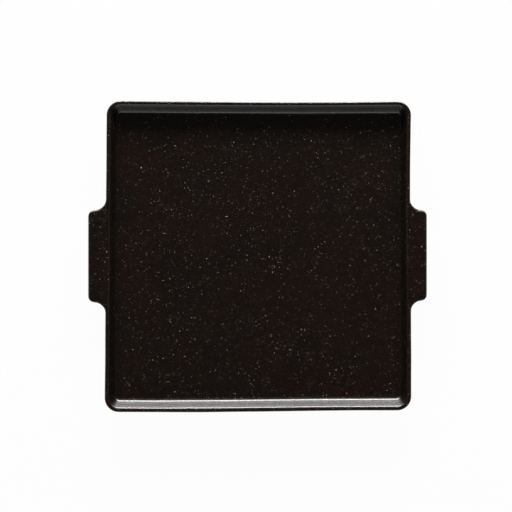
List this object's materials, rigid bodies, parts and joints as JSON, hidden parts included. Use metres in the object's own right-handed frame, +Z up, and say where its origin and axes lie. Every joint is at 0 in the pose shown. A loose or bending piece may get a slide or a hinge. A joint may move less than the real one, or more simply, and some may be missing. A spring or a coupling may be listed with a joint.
{
  "type": "square plate",
  "caption": "Square stoneware serving plate with a raised rim, a lug handle on each side and an unglazed foot ring.",
  "frame": {"origin": "middle of the plate at the level of the table it stands on", "axes": "+X towards the right lug, +Y towards the back edge, +Z up"},
  "size_m": [0.2404, 0.2207, 0.015],
  "materials": {
    "glaze": "satin near-black brown glaze with fine pale specks",
    "bare_clay": "unglazed fired stoneware, matt and slightly gritty"
  },
  "bodies": {
    "root": {"tray_body": "glaze", "left_lug": "glaze", "right_lug": "glaze", "foot_ring": "bare_clay"}
  },
  "joints": []
}
